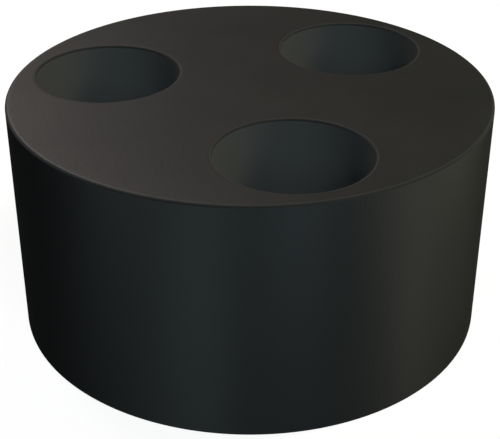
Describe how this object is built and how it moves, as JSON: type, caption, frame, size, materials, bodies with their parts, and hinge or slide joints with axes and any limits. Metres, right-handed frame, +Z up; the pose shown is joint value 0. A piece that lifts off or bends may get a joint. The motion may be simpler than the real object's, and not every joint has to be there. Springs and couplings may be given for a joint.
{
  "type": "multi-hole cable gland sealing insert",
  "caption": "Round moulded rubber sealing insert for a cable gland, with a ring of straight through holes that each seal one cable.",
  "frame": {"origin": "centre of the flat base face", "axes": "+Z up the axis, from the base face to the face that the cables enter; +Y through the centre of the first hole"},
  "size_m": [0.0198, 0.0198, 0.01],
  "materials": {
    "rubber": "matt moulded nitrile rubber, black"
  },
  "bodies": {
    "root": {"sealing_insert": "rubber"}
  },
  "joints": []
}
